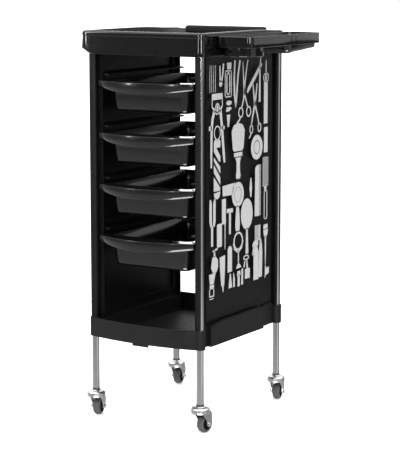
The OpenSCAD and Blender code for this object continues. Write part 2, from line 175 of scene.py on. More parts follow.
def gloss_plastic(name, tone, rough_low, rough_high, wave):
    """Polished black moulding: soft sink waves, faint dust and hairline handling marks."""
    s = Shader(name)
    s.set(ior=1.5, coat=0.6, coat_roughness=0.06)
    s.color_between(s.noise(6.0, 4.0), grey(tone * 0.8), grey(tone * 1.25))
    marks = s.noise(420.0, 6.0, (1, 1, 0.12), 0.7)
    s.roughness_from(s.ramp(marks, 0.35, 0.75, rough_low, rough_high))
    waves, dust = s.noise(16.0, 2.0), s.ramp(s.noise(2600.0, 2.0), 0, 1, 0, 0.008)
    s.bump(s.add(waves, dust), wave, 2 * MM)
    return s.material


def satin_plastic(name, tone, rough_low, rough_high, grain, grain_strength):
    """Spark-eroded mould texture: a fine even grain over slow tone changes."""
    s = Shader(name)
    s.set(ior=1.48, specular=0.35)
    s.color_between(s.noise(9.0, 5.0), grey(tone * 0.8), grey(tone * 1.3))
    s.roughness_from(s.ramp(s.noise(55.0, 6.0), 0.3, 0.7, rough_low, rough_high))
    waves = s.ramp(s.noise(12.0, 2.0), 0, 1, 0, 0.6)
    s.bump(s.add(s.noise(grain, 4.0), waves), grain_strength, 0.3 * MM)
    return s.material


def plated_metal(name, tone, rough_low, rough_high, streak, ripple):
    """Bright plating: streaks stretched by streak and a slight ripple from polishing."""
    s = Shader(name)
    s.set(metallic=1.0)
    s.color_between(s.noise(30.0, 3.0), (tone * 0.94, tone * 0.95, tone * 0.97), (tone, tone, tone * 1.01))
    s.roughness_from(s.ramp(s.noise(900.0, 4.0, streak), 0.3, 0.75, rough_low, rough_high))
    s.bump(s.noise(260.0, 3.0, streak), ripple, 0.2 * MM)
    return s.material


def rubber(name, tone):
    """Grey moulded tyre: speckled, with a dusty, slightly worn surface."""
    s = Shader(name)
    s.set(ior=1.5, specular=0.35)
    blotches = s.ramp(s.noise(160.0, 6.0), 0.3, 0.7, 0, 0.7)
    speckles = s.ramp(s.noise(2400.0, 2.0), 0.4, 0.7, 0, 0.3)
    s.color_between(s.add(blotches, speckles), grey(tone * 0.7), (tone * 1.25, tone * 1.25, tone * 1.27))
    s.roughness_from(s.ramp(s.noise(240.0, 5.0), 0.3, 0.7, 0.5, 0.72))
    s.bump(s.noise(1500.0, 5.0), 0.35, 0.4 * MM)
    return s.material


def screen_ink(name):
    """Screen-printed light grey ink: slightly uneven cover over the panel's grain."""
    s = Shader(name)
    s.set(ior=1.45)
    cover = s.ramp(s.noise(700.0, 5.0), 0.3, 0.7, 0, 1)
    s.color_between(cover, (0.36, 0.36, 0.356), (0.45, 0.45, 0.446))
    s.roughness_from(s.ramp(s.noise(300.0, 4.0), 0.3, 0.7, 0.4, 0.6))
    s.bump(s.noise(1900.0, 4.0), 0.25, 0.3 * MM)
    return s.material


# Each slot's maker and what it is given after the name
SLOTS = {
    "chrome_tube": (plated_metal, 0.76, 0.1, 0.15, (1, 1, 0.01), 0.01),
    "chrome_fork": (plated_metal, 0.82, 0.24, 0.36, (1, 1, 0.6), 0.25),
    "plated_bolt": (plated_metal, 0.7, 0.14, 0.26, (1, 1, 1), 0.2),
    "stem_steel": (plated_metal, 0.16, 0.3, 0.45, (1, 1, 0.3), 0.2),
    "screw_steel": (plated_metal, 0.10, 0.3, 0.5, (1, 1, 1), 0.3),
    "tray_plastic": (gloss_plastic, 0.004, 0.07, 0.15, 0.12),
    "drawer_plastic": (gloss_plastic, 0.004, 0.2, 0.3, 0.06),
    "panel_plastic": (satin_plastic, 0.004, 0.34, 0.46, 1400.0, 0.2),
    "base_plastic": (satin_plastic, 0.008, 0.4, 0.52, 1100.0, 0.4),
    "handle_plastic": (satin_plastic, 0.008, 0.5, 0.62, 900.0, 0.4),
    "hub_plastic": (satin_plastic, 0.012, 0.35, 0.5, 800.0, 0.3),
    "tyre_rubber": (rubber, 0.09),
    "print_ink": (screen_ink,),
}
MATERIALS = {name: make(name, *values) for name, (make, *values) in SLOTS.items()}


# ---------------------------------------------------------------- mesh building

def arc_points(cx, cy, radius, start, end, count):
    """Points on an arc, angles in degrees, both ends included."""
    turn = [math.radians(start + (end - start) * i / count) for i in range(count + 1)]
    return [(cx + radius * math.cos(t), cy + radius * math.sin(t)) for t in turn]


def rounded_rect(x0, y0, x1, y1, radius, count):
    """Counter-clockwise outline, with count steps in each corner."""
    r = radius
    corners = ((x0 + r, y0 + r, 180), (x1 - r, y0 + r, 270), (x1 - r, y1 - r, 0), (x0 + r, y1 - r, 90))
    return [p for cx, cy, start in corners for p in arc_points(cx, cy, r, start, start + 90, count)]


def filleted(corners, count=5):
    """A polyline with its corners rounded. Each corner is (u, v, radius)."""
    path = [corners[0][:2]]
    for before, (u, v, radius), after in zip(corners, corners[1:], corners[2:]):
        corner = Vector((u, v))
        if radius <= 0:
            path.append((u, v))
            continue
        back = (Vector(before[:2]) - corner).normalized()
        ahead = (Vector(after[:2]) - corner).normalized()
        half = back.angle(ahead) / 2
        reach = radius / math.tan(half)
        centre = corner + (back + ahead).normalized() * (radius / math.sin(half))
        first, last = corner + back * reach - centre, corner + ahead * reach - centre
        swing = first.angle_signed(last)
        for i in range(count + 1):
            path.append(tuple(centre + Matrix.Rotation(-swing * i / count, 2) @ first))
    path.append(corners[-1][:2])
    return path


def object_from(name, bm):
    """Turns bm into an object in the scene and frees it."""
    bmesh.ops.recalc_face_normals(bm, faces=bm.faces)
    mesh = bpy.data.meshes.new(name)
    bm.to_mesh(mesh)
    bm.free()
    piece = bpy.data.objects.new(name, mesh)
    bpy.context.scene.collection.objects.link(piece)
    return piece


def mesh_object(name, bm, slot, sharp=SHARP_ANGLE):
    piece = object_from(name, bm)
    smooth(piece, sharp)
    paint(piece, slot)
    return piece


def smooth(piece, sharp=SHARP_ANGLE):
    for polygon in piece.data.polygons:
        polygon.use_smooth = True
    piece.data.set_sharp_from_angle(angle=math.radians(sharp))


def paint(piece, slot):
    piece.data.materials.clear()
    piece.data.materials.append(MATERIALS[slot])


def add_loft(bm, rings, closed=False):
    """Joins rings of equal length into a skin, capped at both ends unless it is closed on itself."""
    made = [[bm.verts.new(p) for p in ring] for ring in rings]
    pairs = list(zip(made, made[1:]))
    if closed:
        pairs.append((made[-1], made[0]))
    for low, high in pairs:
        for i in range(len(low)):
            j = (i + 1) % len(low)
            bm.faces.new((low[i], low[j], high[j], high[i]))
    if not closed:
        bm.faces.new(reversed(made[0]))
        bm.faces.new(made[-1])


def add_turned(bm, profile, matrix, count=48, closed=False):
    """Turns (radius, height) points about Z, then moves them by matrix."""
    rings = []
    for radius, height in profile:
        circle = [Vector((math.cos(a) * radius, math.sin(a) * radius, height))
                  for a in (2 * math.pi * i / count for i in range(count))]
        rings.append([matrix @ p for p in circle])
    add_loft(bm, rings, closed)


def solid(rings):
    """A throw-away object for a boolean."""
    bm = bmesh.new()
    add_loft(bm, rings)
    return object_from("cutter", bm)


def combine(piece, other, operation):
    """Applies one boolean to piece's mesh and removes the other object."""
    modifier = piece.modifiers.new("combine", "BOOLEAN")
    modifier.operation = operation
    modifier.solver = "EXACT"
    modifier.object = other
    bpy.context.view_layer.update()
    result = bpy.data.meshes.new_from_object(piece.evaluated_get(bpy.context.evaluated_depsgraph_get()))
    piece.modifiers.remove(modifier)
    piece.data = result
    bpy.data.objects.remove(other)


def bevelled(piece, width):
    modifier = piece.modifiers.new("edge", "BEVEL")
    modifier.width = width
    modifier.segments = 2
    modifier.limit_method = "ANGLE"
    modifier.angle_limit = math.radians(SHARP_ANGLE)
    modifier.harden_normals = False


def outline_rings(outline, profile):
    """One ring for each (inset, height) of the profile. outline(inset) gives the points."""
    return [[Vector((x, y, height)) for x, y in outline(inset)] for inset, height in profile]


# ---------------------------------------------------------------- top tray

HANDLE_FOOT_X, HANDLE_FOOT_FORWARD = 84 * MM, 3 * MM   # from the middle of the handle's bar


def ease(value, low, high):
    """0 below low, 1 above high, smooth in between."""
    t = min(1.0, max(0.0, (value - low) / (high - low)))
    return t * t * (3 - 2 * t)


def make_top_tray():
    low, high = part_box("top_tray")
    well_depth, floor_thickness, skirt = 25.5 * MM, 3 * MM, 3 * MM
    floor_top = high.z - well_depth
    floor_under = floor_top - floor_thickness
    front_r, back_r = 21 * MM, 38 * MM
    squareness = 0.8         # below 1 the front corners are squarer than a circle
    chamfer_w, chamfer_h = 22 * MM, 12 * MM
    chamfer_top = low.z + chamfer_h
    draft = 3 * MM
    back_drop, notch_drop, notch_half = 4.6 * MM, 1.5 * MM, 132 * MM
    side_stops = [y * MM for y in (-150, -110, -60, 0, 60, 100, 116, 124, 130)]
    back_stops = [x * MM for x in (-60, 0, 60)]
    front_steps = 8

    def squarer(cx, cy, radius, start, end, count):
        """An arc that keeps closer to its corner than a circle does."""
        def stretched(value):
            return math.copysign(radius * abs(value) ** squareness, value)
        return [(cx + stretched(u), cy + stretched(v)) for u, v in arc_points(0, 0, 1, start, end, count)]

    def outline(inset):
        rf, rb = max(front_r - inset, 4 * MM), max(back_r - inset, 12 * MM)
        x0, x1, y0, y1 = low.x + inset, high.x - inset, low.y + inset, high.y - inset
        front = [(x0 + rf + (x1 - x0 - 2 * rf) * i / front_steps, y0) for i in range(1, front_steps)]
        return [*squarer(x0 + rf, y0 + rf, rf, 180, 270, 12), *front,
                *squarer(x1 - rf, y0 + rf, rf, 270, 360, 12), *((x1, y) for y in side_stops),
                *arc_points(x1 - rb, y1 - rb, rb, 0, 90, 24), *((x, y1) for x in reversed(back_stops)),
                *arc_points(x0 + rb, y1 - rb, rb, 90, 180, 24), *((x0, y) for y in reversed(side_stops))]

    def shaped(p):
        """Drops the rim towards the back, and slants and chamfers the left side."""
        if p.z > floor_top:
            drop = back_drop * ease(p.y, 30 * MM, 165 * MM)
            behind = 1 - ease(abs(p.x), notch_half - 6 * MM, notch_half + 2 * MM)
            drop += notch_drop * behind * ease(p.y, 158 * MM, 166 * MM)
            p.z -= drop * (p.z - floor_top) / (high.z - floor_top)
        below = max(0.0, (chamfer_top - p.z) / chamfer_h)
        p.x += chamfer_w * below * ease(-p.x, 100 * MM, 140 * MM)
        if p.x < 0:
            p.x += draft * ease(-p.x, 90 * MM, high.x) * (p.z - low.z) / (high.z - low.z)

    bead = high.z - 10 * MM
    profile = filleted([
        (26 * MM, floor_top, 0), (15 * MM, floor_top, 7 * MM), (6.5 * MM, high.z, 2.5 * MM),
        (0, high.z, 5.5 * MM), (0, bead, 1.4 * MM), (0.9 * MM, bead - 1.2 * MM, 1.0 * MM),
        (0.2 * MM, chamfer_top, 0), (0, low.z, 1.0 * MM), (skirt, low.z, 0.8 * MM),
        (skirt, chamfer_top + 1.5 * MM, 0), (skirt, floor_under, 1.5 * MM), (26 * MM, floor_under, 0)], 6)
    rings = outline_rings(outline, profile)
    for ring in rings:
        for p in ring:
            shaped(p)
    bm = bmesh.new()
    add_loft(bm, rings)

    for corner_name in CORNERS:
        post_low, post_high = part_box("post_" + corner_name)
        centre = (post_low + post_high) / 2
        bore, wall = (post_high.x - post_low.x) / 2 + 0.1 * MM, 3 * MM
        foot, top = low.z + 1.5 * MM, floor_under + MM
        add_turned(bm, [(bore, foot), (bore + wall, foot), (bore + wall, top), (bore, top)],
                   Matrix.Translation((centre.x, centre.y, 0)), 32, True)
    handle_low, handle_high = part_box("rear_handle")
    pad_y = (handle_low.y + handle_high.y) / 2 - HANDLE_FOOT_FORWARD
    pad_foot, pad_r = floor_top - MM, 7 * MM
    pad = filleted([(2 * MM, pad_foot, 0), (pad_r, pad_foot, 0), (pad_r - 0.5 * MM, handle_low.z, 0.6 * MM),
                    (2 * MM, handle_low.z, 0)], 3)
    for side in (-1, 1):
        add_turned(bm, pad, Matrix.Translation((side * HANDLE_FOOT_X, pad_y, 0)), 32, True)
    tray = mesh_object("top_tray_shell", bm, "tray_plastic")
    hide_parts("top_tray")
    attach(tray, "frame")


# ---------------------------------------------------------------- side tray

def make_side_tray():
    """A shallow tray with a round dryer holder in front and a deep bowl behind."""
    low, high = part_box("side_tray")
    rim_low = high.z - 23 * MM
    floor_top, floor_under = high.z - 14 * MM, high.z - 16.5 * MM
    wall, corner = 2.5 * MM, 12 * MM

    def outline(inset):
        return rounded_rect(low.x + inset, low.y + inset, high.x - inset, high.y - inset,
                            max(corner - inset, 2 * MM), 10)

    profile = filleted([
        (20 * MM, floor_top, 0), (wall + MM, floor_top, 4 * MM), (wall, high.z, 1.2 * MM),
        (0, high.z, 1.2 * MM), (0, rim_low, 1.0 * MM), (wall, rim_low, 0.8 * MM),
        (wall, floor_under, 1.5 * MM), (20 * MM, floor_under, 0)], 5)
    bm = bmesh.new()
    add_loft(bm, outline_rings(outline, profile))
    tray = mesh_object("side_tray_shell", bm, "tray_plastic")

    bore, cup_wall, cup_draft = 38.5 * MM, 3 * MM, 0.4 * MM
    cup = bore + cup_wall
    cup_x, cup_y = high.x - cup, low.y + cup
    cup_low = rim_low - 18.5 * MM

    def turned(profile, count=72):
        turn = [2 * math.pi * i / count for i in range(count)]
        return [[Vector((cup_x + math.cos(a) * r, cup_y + math.sin(a) * r, z)) for a in turn]
                for r, z in profile]

    cup_r = cup - cup_draft
    cup_profile = filleted([(cup_r - 6 * MM, cup_low, 0), (cup_r, cup_low, 2 * MM),
                            (cup_r, floor_top - 0.6 * MM, 0)], 5)
    combine(tray, solid(turned(cup_profile)), "UNION")

    bowl_front, bowl_back, bowl_low, bowl_r = 30 * MM, 155 * MM, low.z, 14 * MM
    side, bottom_round, lean = 3 * MM, 11 * MM, 2 * MM
    end_length, end_height, end_power = 40 * MM, 20 * MM, 1.8

    def bowl(inset):
        return rounded_rect(low.x + side + inset, bowl_front + inset, high.x - side - inset,
                            bowl_back - inset, max(bowl_r - inset, 3 * MM), 10)

    def lifted(rings, thickness):
        """Rounds the lower back end of the bowl."""
        for ring in rings:
            for p in ring:
                along = p.y - (bowl_back - end_length)
                if along > 0:
                    p.z = max(p.z, bowl_low + thickness + end_height * (along / end_length) ** end_power)
        return rings

    outside = filleted([(24 * MM, bowl_low, 0), (lean, bowl_low, bottom_round),
                        (0, floor_top - 0.5 * MM, 0)], 7)
    combine(tray, solid(lifted(outline_rings(bowl, outside), 0)), "UNION")
    inner_low = bowl_low + wall
    inside = filleted([(26 * MM, inner_low, 0), (lean + wall, inner_low, bottom_round - wall),
                       (wall, floor_top - MM, 0), (wall - MM, high.z + MM, 0)], 7)
    combine(tray, solid(lifted(outline_rings(bowl, inside), wall)), "DIFFERENCE")

    lead_in = 1.6 * MM
    hole = filleted([(bore, cup_low - MM, 0), (bore, floor_top - lead_in, 0),
                     (bore + lead_in, floor_top + 0.2 * MM, 0), (bore + lead_in, high.z + MM, 0)], 4)
    combine(tray, solid(turned(hole)), "DIFFERENCE")

    # Two upright grooves in the outer wall, beside the front of the bowl
    groove_half, groove_depth = 1.5 * MM, MM
    for y in (34 * MM, 52 * MM):
        square = [(high.x - groove_depth, y - groove_half), (high.x + groove_depth, y - groove_half),
                  (high.x + groove_depth, y + groove_half), (high.x - groove_depth, y + groove_half)]
        heights = (rim_low - MM, high.z - 3 * MM)
        combine(tray, solid([[Vector((*p, z)) for p in square] for z in heights]), "DIFFERENCE")
    paint(tray, "tray_plastic")
    smooth(tray)
    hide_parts("side_tray")
    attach(tray, "frame")


# ---------------------------------------------------------------- rear handle

def make_rear_handle():
    low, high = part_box("rear_handle")
    size = high.y - low.y
    bar_low = high.z - size
    end_round, edge_round = 6 * MM, 5.5 * MM
    centre_y, centre_z = (low.y + high.y) / 2, (bar_low + high.z) / 2
    section = rounded_rect(-size / 2, -size / 2, size / 2, size / 2, edge_round, 8)
    stations = [(low.x + end_round * (1 - math.cos(a)), math.sin(a)) for a in
                (math.radians(12 + 78 * i / 8) for i in range(9))]
    mirrored = [(-x, s) for x, s in reversed(stations)]
    rings = []
    for x, swell in stations + mirrored:
        shrink = end_round * (1 - swell) / (size / 2)
        rings.append([Vector((x, centre_y + u * (1 - shrink), centre_z + v * (1 - shrink)))
                      for u, v in section])
    bm = bmesh.new()
    add_loft(bm, rings)
    foot_r = 5 * MM
    foot = filleted([(3 * MM, low.z, 0), (foot_r, low.z, 0.6 * MM), (foot_r, bar_low - MM, 2 * MM),
                     (foot_r + 2 * MM, bar_low + MM, 0)], 4)
    for side in (-1, 1):
        place = (side * HANDLE_FOOT_X, centre_y - HANDLE_FOOT_FORWARD, 0)
        add_turned(bm, foot, Matrix.Translation(place), 32)
    handle = mesh_object("rear_handle_bar", bm, "handle_plastic")
    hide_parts("rear_handle")
    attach(handle, "frame")


# ---------------------------------------------------------------- drawers

def make_drawer(index):
    """A tub whose rim runs between the ledges, with a bowed lip in front."""
    node = "drawer_%d" % index
    low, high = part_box(node)
    half_w, back = high.x, high.y
    half_rim = half_w - 6 * MM
    lip_end, lip_back = -165 * MM, -157 * MM
    lip_end_h, lip_mid_h, lip_corner = 14 * MM, 24 * MM, 3 * MM
    bow = lip_end - low.y
    bow_r = (half_w ** 2 + bow ** 2) / (2 * bow)
    tub_half, tub_front, taper = half_rim - 13 * MM, -152 * MM, 6 * MM
    front_r, back_r, rim_back_r = 18 * MM, 12 * MM, 6 * MM
    wall, rim_t = 2.2 * MM, 3 * MM
    steps, span = 10, 24     # points round a corner and across the front

    def tub(inset, taper_now):
        """Tub outline: front-left corner, front, front-right corner, right side, back, left side."""
        side = tub_half - taper_now - inset
        y0, y1 = tub_front + taper_now / 2 + inset, back - inset
        rf, rb = front_r - inset, max(back_r - inset, 2 * MM)
        left = arc_points(-side + rf, y0 + rf, rf, 180, 270, steps)
        right = arc_points(side - rf, y0 + rf, rf, 270, 360, steps)
        front = [(left[-1][0] + (right[0][0] - left[-1][0]) * i / span, y0) for i in range(1, span)]
        return [*left, *front, *right, *arc_points(side - rb, y1 - rb, rb, 0, 90, steps),
                *arc_points(-side + rb, y1 - rb, rb, 90, 180, steps)]

    def rim(inset):
        """Rim outline with as many points: narrow between the runners, wider and bowed in front."""
        side, wide, y1 = half_rim - inset, half_w - inset, back - inset
        radius = bow_r - inset
        centre_y = low.y + bow_r
        edge = wide - lip_corner
        step_y = lip_back - min(inset, 2 * MM)

        def bow_y(x):
            return centre_y - math.sqrt(radius ** 2 - x ** 2)

        corner_y = bow_y(edge)
        left = [(-side, lip_back + 6 * MM), (-side, step_y), (-wide, step_y)]
        left += [(-wide + lip_corner * (1 - math.cos(a)), corner_y + lip_corner * (1 - math.sin(a)))
                 for a in (math.pi / 2 * i / (steps - 3) for i in range(steps - 2))]
        xs = [-edge + 2 * edge * i / span for i in range(span + 1)]
        front = [(x, bow_y(x)) for x in xs[1:-1]]
        right = [(-x, y) for x, y in reversed(left)]
        rb = max(rim_back_r - inset, 2 * MM)
        return [*left, *front, *right, *arc_points(side - rb, y1 - rb, rb, 0, 90, steps),
                *arc_points(-side + rb, y1 - rb, rb, 90, 180, steps)]

    def lower_edge(x, y):
        """Underside of the apron: a smile across the front, and only the flange behind it."""
        if y > lip_back - 0.1 * MM or (abs(x) <= half_rim and y > lip_back - 3 * MM):
            return high.z - rim_t
        across = min(1.0, abs(x) / half_w)
        return high.z - (lip_end_h + (lip_mid_h - lip_end_h) * (1 - across ** 2))

    def ring(points, z):
        return [Vector((x, y, z)) for x, y in points]

    def apron_ring(inset, share):
        """share 0 is the rim's top edge and 1 the apron's lower edge; the apron curls in a little."""
        points = rim(inset)
        return [Vector((x, y, high.z + (lower_edge(x, y) - high.z) * share)) for x, y in points]

    def quarter(count):
        """Angles of a quarter turn in count steps."""
        return [math.pi / 2 * i / count for i in range(count + 1)]

    floor, rim_under = low.z + wall, high.z - rim_t
    inner_round, outer_round, edge_round = 7 * MM, 9 * MM, 1.1 * MM
    # Inside of the tub, from the floor up
    rings = [ring(tub(wall + inner_round * (1 - math.sin(a)), taper),
                  floor + inner_round * (1 - math.cos(a))) for a in quarter(5)]
    rings.append(ring(tub(wall, taper * 0.45), (floor + high.z) / 2 + 2 * MM))
    rings.append(ring(tub(wall, taper * 0.04), high.z - 1.2 * MM))
    rings.append(ring(tub(wall - 0.4 * MM, 0), high.z - 0.4 * MM))
    rings.append(ring(tub(wall - 1.3 * MM, 0), high.z))
    # Rim and its rounded edge
    rings.append(ring(rim(2.2 * MM), high.z))
    rings += [ring(rim(edge_round * (1 - math.sin(a))), high.z - edge_round * (1 - math.cos(a)))
              for a in quarter(4)]
    # Apron in front, curling in, and back up behind it
    curl, curl_start = 4 * MM, 0.3
    for share in (0.25, 0.45, 0.62, 0.76, 0.88, 0.96, 1.0):
        swing = max(0.0, (share - curl_start) / (1 - curl_start))
        rings.append(apron_ring(curl * (1 - math.sqrt(1 - swing ** 2)) * 0.9, share))
    rings.append(apron_ring(curl + 0.8 * MM, 1.0))
    rings.append(apron_ring(curl + 1.0 * MM, 0.9))
    rings.append(ring(rim(curl + 1.2 * MM), rim_under))
    # Outside of the tub, from the rim down
    rings.append(ring(tub(-0.6 * MM, 0), rim_under))
    rings.append(ring(tub(0, taper * 0.05), rim_under - MM))
    rings.append(ring(tub(0, taper * 0.5), (low.z + high.z) / 2))
    rings += [ring(tub(outer_round * (1 - math.cos(a)), taper), low.z + outer_round * (1 - math.sin(a)))
              for a in quarter(5)]
    bm = bmesh.new()
    add_loft(bm, rings)
    drawer = mesh_object(node + "_moulding", bm, "drawer_plastic")
    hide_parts(node)
    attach(drawer, node)


# ---------------------------------------------------------------- casters

def wheel_joint(corner_name):
    return next(j for j in frame["joints"] if j["name"] == "wheel_%s_spin" % corner_name)


def axle_matrix(corner_name):
    """Frame of a wheel: origin on the axle, Z along it, taken from that wheel's joint."""
    joint = wheel_joint(corner_name)
    turn = Vector((0, 0, 1)).rotation_difference(Vector(joint["axis"])).to_matrix().to_4x4()
    return Matrix.Translation(joint["pos_m"]) @ turn


def make_tyre(corner_name):
    """Round-shouldered tyre with three fine grooves."""
    low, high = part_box("tyre_" + corner_name)
    half_w, shoulder = 8.5 * MM, 1.6 * MM
    radius, bead = (high.z - low.z) / 2, 13 * MM
    foot, fullness = bead - MM, 2.5      # the crown is a superellipse standing on foot
    grooves, groove_half, groove_depth = (-0.42, 0.0, 0.42), 0.07, 0.7 * MM
    profile = [(bead, -half_w + shoulder)]
    for i in range(41):
        z = -math.cos(math.pi * i / 40)
        crown = foot + (radius - foot) * (1 - abs(z) ** fullness) ** (1 / fullness)
        for centre in grooves:
            crown -= groove_depth * max(0.0, 1 - ((z - centre) / groove_half) ** 2)
        profile.append((max(crown, bead), z * half_w))
    profile.append((bead, half_w - shoulder))
    bm = bmesh.new()
    add_turned(bm, profile, axle_matrix(corner_name), 64, True)
    tyre = mesh_object("tyre_%s_tread" % corner_name, bm, "tyre_rubber", TYRE_SHARP_ANGLE)
    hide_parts("tyre_" + corner_name)
    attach(tyre, "wheel_" + corner_name)


def make_hub(corner_name):
    """Hub with a long boss, a thin web, six spokes and a rim."""
    bore, boss, bead = 2.56 * MM, 5.5 * MM, 12.95 * MM
    boss_half, rim_half, web_half = 11.3 * MM, 7 * MM, 3 * MM
    half = [(bore, boss_half, 0), (boss - 0.8 * MM, boss_half, 0.5 * MM), (boss, web_half, 1.2 * MM),
            (bead - 2.4 * MM, web_half, 1.4 * MM), (bead - 1.8 * MM, rim_half, 0.5 * MM),
            (bead, rim_half, 0.4 * MM)]
    mirrored = [(r, -z, c) for r, z, c in reversed(half)]
    bm = bmesh.new()
    matrix = axle_matrix(corner_name)
    add_turned(bm, filleted([*half, *mirrored], 3), matrix, 48, True)
    spokes = 6
    thick, wide = 0.9 * MM, rim_half - 1.6 * MM
    section = [(-thick, -wide), (thick, -wide), (thick, wide), (-thick, wide)]
    for spoke in range(spokes):
        turn = matrix @ Matrix.Rotation(math.radians(360 / spokes * spoke), 4, "Z")
        add_loft(bm, [[turn @ Vector((x, u, v)) for u, v in section] for x in (boss - MM, bead - 1.5 * MM)])
    hub = mesh_object("hub_%s_wheel" % corner_name, bm, "hub_plastic")
    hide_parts("hub_" + corner_name)
    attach(hub, "wheel_" + corner_name)


def make_fork(corner_name):
    """Pressed steel fork: a domed crown and two legs that sweep back to the axle."""
    low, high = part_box("fork_front_right")       # all four are the same size
    post_low, post_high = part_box("post_" + corner_name)
    post = (post_low + post_high) / 2
    axle = Vector(wheel_joint(corner_name)["pos_m"])
    axle_z = axle.z
    trail_vector = axle - Vector((post.x, post.y, axle_z))
    trail = trail_vector.length
    angle = math.atan2(-trail_vector.x, trail_vector.y)
    place = Matrix.Translation((post.x, post.y, 0)) @ Matrix.Rotation(angle, 4, "Z")
    crown_r = (high.x - low.x) / 2
    crown_top, crown_low = high.z, 45.5 * MM
    bore = 4.1 * MM
    dome = filleted([
        (bore, crown_low + 2 * MM, 0), (bore, crown_top, 0.2 * MM), (9 * MM, crown_top, 1.2 * MM),
        (11 * MM, crown_top - 1.8 * MM, 1.5 * MM), (crown_r - 3.5 * MM, crown_top - 2.6 * MM, 2.5 * MM),
        (crown_r, crown_top - 6 * MM, 1.5 * MM), (crown_r, crown_low, 0.5 * MM),
        (crown_r - 2 * MM, crown_low, 0.4 * MM), (crown_r - 2.2 * MM, crown_low + 2 * MM, 0.6 * MM)], 4)
    bm = bmesh.new()
    add_turned(bm, dome, place, 56, True)
    leg_x, leg_t = 11.9 * MM, 2 * MM
    tip_r = 5.5 * MM
    top = crown_low + 3 * MM
    # Side outline of a leg as (y, z), with y towards the axle
    front_edge = [(-6 * MM, top), (-6 * MM, crown_low), (-2.5 * MM, crown_low - 5 * MM), (3 * MM, 33 * MM),
                  (6.5 * MM, 27 * MM)]
    tip = arc_points(trail, axle_z, tip_r, 165, 375, 14)
    back_edge = [(trail + 7.6 * MM, 26 * MM), (trail + 9 * MM, 32 * MM), (trail + 9 * MM, 39 * MM),
                 (trail + 7 * MM, crown_low), (trail + 5 * MM, top)]
    outline = [*front_edge, *tip, *back_edge]
    middle_y, middle_z = trail * 0.6, 36 * MM
    for side in (-1, 1):
        rings = []
        for shrink, depth in ((0.985, 0), (1, 0.25), (1, 0.75), (0.985, 1)):
            x = side * (leg_x + depth * leg_t)
            rings.append([place @ Vector((x, middle_y + (y - middle_y) * shrink,
                                          middle_z + (z - middle_z) * shrink)) for y, z in outline])
        add_loft(bm, rings)
    fork = mesh_object("fork_%s_pressing" % corner_name, bm, "chrome_fork")
    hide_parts("fork_" + corner_name)
    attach(fork, "swivel_" + corner_name)


# ---------------------------------------------------------------- print on the right panel

class Ink:
    """Flat printed shapes on the outer face of the right panel. Points are (y, z) in millimetres."""

    def __init__(self, face):
        proud, sunk = 0.15 * MM, 0.1 * MM
        self.bm = bmesh.new()
        self.front, self.back = face + proud, face - sunk

    def patch(self, *points):
        """A filled outline."""
        rings = [[Vector((x, y * MM, z * MM)) for y, z in points] for x in (self.back, self.front)]
        add_loft(self.bm, rings)

    def oval(self, y, z, ry, rz, line=0.0):
        """A filled ellipse, or only its line of that width."""
        count = 40
        turn = [2 * math.pi * i / count for i in range(count)]
        if not line:
            self.patch(*((y + ry * math.cos(t), z + rz * math.sin(t)) for t in turn))
            return
        rings = []
        for t in turn:
            c, s = math.cos(t), math.sin(t)
            outer, inner = (y + ry * c, z + rz * s), (y + (ry - line) * c, z + (rz - line) * s)
            corners = ((outer, self.back), (outer, self.front), (inner, self.front), (inner, self.back))
            rings.append([Vector((x, p[0] * MM, p[1] * MM)) for p, x in corners])
        add_loft(self.bm, rings, closed=True)

    def line(self, *points):
        """A line through (y, z, width) points."""
        rings = []
        for i, (y, z, width) in enumerate(points):
            before, after = points[max(i - 1, 0)], points[min(i + 1, len(points) - 1)]
            along = Vector((after[0] - before[0], after[1] - before[1])).normalized()
            side = Vector((-along.y, along.x)) * width / 2
            rings.append([Vector((x, (y + side.x * k) * MM, (z + side.y * k) * MM)) for k, x in
                          ((1, self.back), (1, self.front), (-1, self.front), (-1, self.back))])
        add_loft(self.bm, rings)

    def box(self, y0, z0, y1, z1):
        self.patch((y0, z0), (y1, z0), (y1, z1), (y0, z1))

    def hollow_box(self, y0, z0, y1, z1, w):
        """Four bars of width w round a rectangle."""
        self.box(y0, z0, y0 + w, z1)
        self.box(y1 - w, z0, y1, z1)
        self.box(y0, z0, y1, z0 + w)
        self.box(y0, z1 - w, y1, z1)

    def teeth(self, y0, y1, start, pitch, width, count):
        """A row of bars from y0 to y1, stacked upward."""
        for i in range(count):
            self.box(y0, start + pitch * i, y1, start + width + pitch * i)


